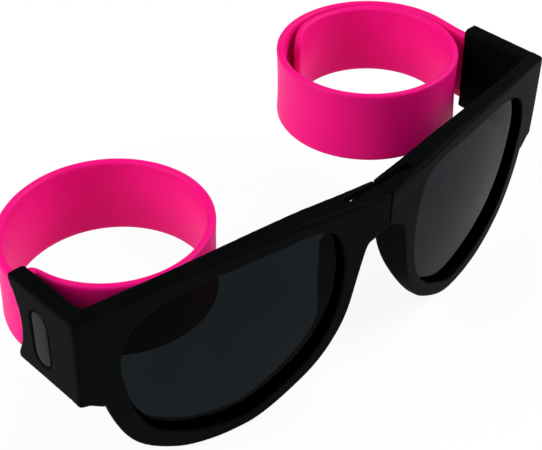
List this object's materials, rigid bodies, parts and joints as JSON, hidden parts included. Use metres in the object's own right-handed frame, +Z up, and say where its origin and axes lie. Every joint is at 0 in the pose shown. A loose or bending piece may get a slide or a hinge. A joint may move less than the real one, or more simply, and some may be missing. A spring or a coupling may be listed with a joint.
{
  "type": "folding sunglasses with slap bands",
  "caption": "Black folding sunglasses hinged at the nose bridge, with smoke lenses and two coiled pink slap bands in place of arms.",
  "frame": {"origin": "Under the middle of the whole object's box, at the level of the lowest point of the rims.", "axes": "+Z up as worn. The front of the glasses faces -Y and the bands lie towards +Y. +X is the viewer's right when the glasses are seen from the front. Left and right in names are the viewer's."},
  "size_m": [0.143, 0.075, 0.0529],
  "materials": {
    "frame_black": "moulded plastic with a fine matte grain",
    "smoke_lens": "polished smoke grey plastic lens",
    "inlay_grey": "satin dark grey plastic",
    "pink_silicone": "hot pink silicone, silky matte",
    "spring_steel": "rolled spring steel",
    "hinge_steel": "satin stainless steel"
  },
  "bodies": {
    "left_half": {"left_frame_half": "frame_black", "left_lens": "smoke_lens", "left_inlay": "inlay_grey", "left_anchor_plate": "spring_steel", "left_anchor_rivets": "hinge_steel", "left_band_root": "pink_silicone", "left_strip_root": "spring_steel", "left_hinge_screw": "hinge_steel"},
    "bridge_link": {"bridge_link": "hinge_steel"},
    "right_half": {"right_frame_half": "frame_black", "right_lens": "smoke_lens", "right_inlay": "inlay_grey", "right_anchor_plate": "spring_steel", "right_anchor_rivets": "hinge_steel", "right_band_root": "pink_silicone", "right_strip_root": "spring_steel", "right_hinge_screw": "hinge_steel"},
    "left_band": {"left_band_sleeve": "pink_silicone", "left_spring_strip": "spring_steel"},
    "right_band": {"right_band_sleeve": "pink_silicone", "right_spring_strip": "spring_steel"}
  },
  "joints": [
    {"name": "left_bridge_pivot", "type": "hinge", "parent": "left_half", "child": "bridge_link", "pos_m": [-0.0083, -0.03318, 0.04939], "axis": [0, 0, 1], "range_deg": [0, 26]},
    {"name": "right_bridge_pivot", "type": "hinge", "parent": "bridge_link", "child": "right_half", "pos_m": [0.0083, -0.03318, 0.04939], "axis": [0, 0, 1], "range_deg": [0, 26]},
    {"name": "left_band_flex", "type": "hinge", "parent": "left_half", "child": "left_band", "pos_m": [-0.07015, 0.00053, 0.03662], "axis": [0, 0, 1], "range_deg": [0, 25], "stiffness_Nm_per_rad": 0.1},
    {"name": "right_band_flex", "type": "hinge", "parent": "right_half", "child": "right_band", "pos_m": [0.07015, 0.00053, 0.03662], "axis": [0, 0, -1], "range_deg": [0, 25], "stiffness_Nm_per_rad": 0.1}
  ]
}
